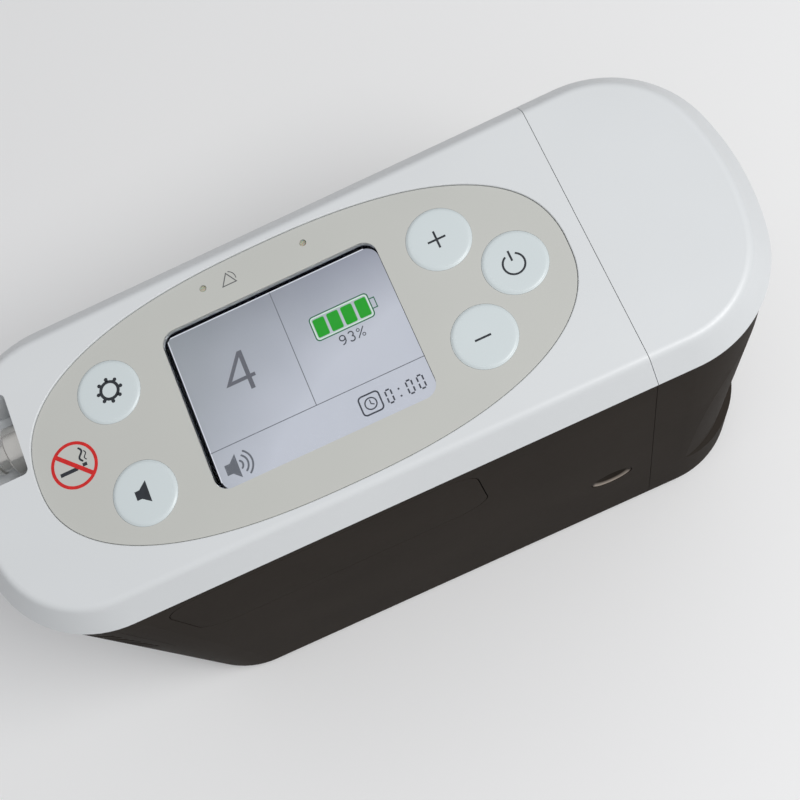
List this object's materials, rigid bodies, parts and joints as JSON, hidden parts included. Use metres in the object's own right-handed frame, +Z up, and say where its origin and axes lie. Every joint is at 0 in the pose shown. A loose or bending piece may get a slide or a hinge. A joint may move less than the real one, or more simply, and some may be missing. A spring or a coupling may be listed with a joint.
{
  "type": "oxygen concentrator",
  "caption": "Hand-sized portable oxygen concentrator with a top control panel and display, an outlet nozzle and a battery pack that slides off its end.",
  "frame": {"origin": "centre of the object's footprint, on the floor under the rubber feet", "axes": "+X along the length towards the battery pack, -Y towards the wall with the filter door, +Z up through the control panel"},
  "size_m": [0.221, 0.085, 0.16],
  "materials": {
    "white_plastic": "satin cool white, fine moulded texture",
    "panel_plastic": "warm grey printed overlay, matt",
    "button_plastic": "milky translucent plastic, satin",
    "dark_plastic": "dark warm grey, satin",
    "black_plastic": "black moulded plastic",
    "window_glass": "clear window, polished",
    "display_panel": "lit liquid crystal display",
    "rubber": "soft dark rubber",
    "circuit_board": "green solder mask",
    "nozzle_steel": "turned stainless steel",
    "steel": "zinc plated",
    "aluminium": "cast and machined",
    "sieve_beads": "packed mineral beads",
    "filter_foam": "open cell foam",
    "clear_plastic": "clear plastic",
    "silicone": "translucent silicone",
    "cell_wrap": "blue shrink wrap over a metal can",
    "terminal_brass": "gold plated",
    "motor_steel": "coated steel",
    "moulded_plastic": "grey moulded plastic"
  },
  "bodies": {
    "housing": {"base_cover": "dark_plastic", "battery_connector": "black_plastic", "bay_wall": "black_plastic", "chassis": "black_plastic", "compressor_cylinders": "aluminium", "control_panel": "panel_plastic", "crank_bearings": "steel", "crankcase": "aluminium", "cylinder_heads": "aluminium", "display_board": "circuit_board", "display_frame": "black_plastic", "display_module": "display_panel", "display_window": "window_glass", "exhaust_grille": "dark_plastic", "fan_frame": "black_plastic", "front_shell": "dark_plastic", "heatsink": "aluminium", "housing_screws": "steel", "indicator_light_pipes": "clear_plastic", "intake_grille": "dark_plastic", "intake_muffler": "moulded_plastic", "keypad_mat": "rubber", "main_board": "circuit_board", "motor_stator": "motor_steel", "outlet_filter": "clear_plastic", "outlet_nozzle": "nozzle_steel", "power_inlet": "dark_plastic", "product_tank": "moulded_plastic", "rear_shell": "dark_plastic", "release_spring": "steel", "rubber_feet": "rubber", "rubber_isolators": "rubber", "sieve_beds": "sieve_beads", "sieve_bottom_cap": "moulded_plastic", "sieve_columns": "aluminium", "silicone_tubes": "silicone", "solenoid_valves": "black_plastic", "speaker": "black_plastic", "top_cover": "white_plastic", "valve_manifold": "moulded_plastic"},
    "plus_button": {"plus_button": "button_plastic"},
    "minus_button": {"minus_button": "button_plastic"},
    "power_button": {"power_button": "button_plastic"},
    "settings_button": {"settings_button": "button_plastic"},
    "mute_button": {"mute_button": "button_plastic"},
    "battery_pack": {"battery_shell": "dark_plastic", "battery_cap": "white_plastic", "battery_inner_wall": "black_plastic", "battery_terminals": "terminal_brass", "battery_board": "circuit_board", "battery_cells": "cell_wrap", "cell_holder": "black_plastic"},
    "filter_door": {"filter_door": "dark_plastic", "intake_filter": "filter_foam"},
    "release_button": {"release_button": "dark_plastic"},
    "inlet_flap": {"inlet_flap": "rubber"},
    "fan_rotor": {"fan_rotor": "black_plastic"},
    "crankshaft": {"crankshaft": "steel"},
    "piston_left": {"piston_left": "aluminium"},
    "piston_right": {"piston_right": "aluminium"}
  },
  "joints": [
    {"name": "plus_press", "type": "slide", "parent": "housing", "child": "plus_button", "axis": [0, 0, -1], "range_m": [0, 0.0004], "stiffness_N_per_m": 400, "springref_m": -0.001},
    {"name": "minus_press", "type": "slide", "parent": "housing", "child": "minus_button", "axis": [0, 0, -1], "range_m": [0, 0.0004], "stiffness_N_per_m": 400, "springref_m": -0.001},
    {"name": "power_press", "type": "slide", "parent": "housing", "child": "power_button", "axis": [0, 0, -1], "range_m": [0, 0.0004], "stiffness_N_per_m": 400, "springref_m": -0.001},
    {"name": "settings_press", "type": "slide", "parent": "housing", "child": "settings_button", "axis": [0, 0, -1], "range_m": [0, 0.0004], "stiffness_N_per_m": 400, "springref_m": -0.001},
    {"name": "mute_press", "type": "slide", "parent": "housing", "child": "mute_button", "axis": [0, 0, -1], "range_m": [0, 0.0004], "stiffness_N_per_m": 400, "springref_m": -0.001},
    {"name": "battery_slide", "type": "slide", "parent": "housing", "child": "battery_pack", "axis": [1, 0, 0], "range_m": [0, 0.06]},
    {"name": "filter_door_pull", "type": "slide", "parent": "housing", "child": "filter_door", "axis": [0, -1, 0], "range_m": [0, 0.03]},
    {"name": "release_press", "type": "slide", "parent": "housing", "child": "release_button", "axis": [0, 1, 0], "range_m": [0, 0.0025], "stiffness_N_per_m": 600, "springref_m": -0.002, "deforming": ["release_spring"]},
    {"name": "inlet_flap_hinge", "type": "hinge", "parent": "housing", "child": "inlet_flap", "pos_m": [-0.1079, 0, 0.031], "axis": [0, 1, 0], "range_deg": [0, 110]},
    {"name": "fan_spin", "type": "hinge", "parent": "housing", "child": "fan_rotor", "pos_m": [-0.086, -0.014, 0.115], "axis": [1, 0, 0], "continuous": true},
    {"name": "crank_spin", "type": "hinge", "parent": "housing", "child": "crankshaft", "pos_m": [-0.025, 0, 0.038], "axis": [0, 1, 0], "continuous": true},
    {"name": "piston_left_stroke", "type": "slide", "parent": "housing", "child": "piston_left", "axis": [-1, 0, 0], "range_m": [0, 0.003]},
    {"name": "piston_right_stroke", "type": "slide", "parent": "housing", "child": "piston_right", "axis": [1, 0, 0], "range_m": [0, 0.003]}
  ]
}
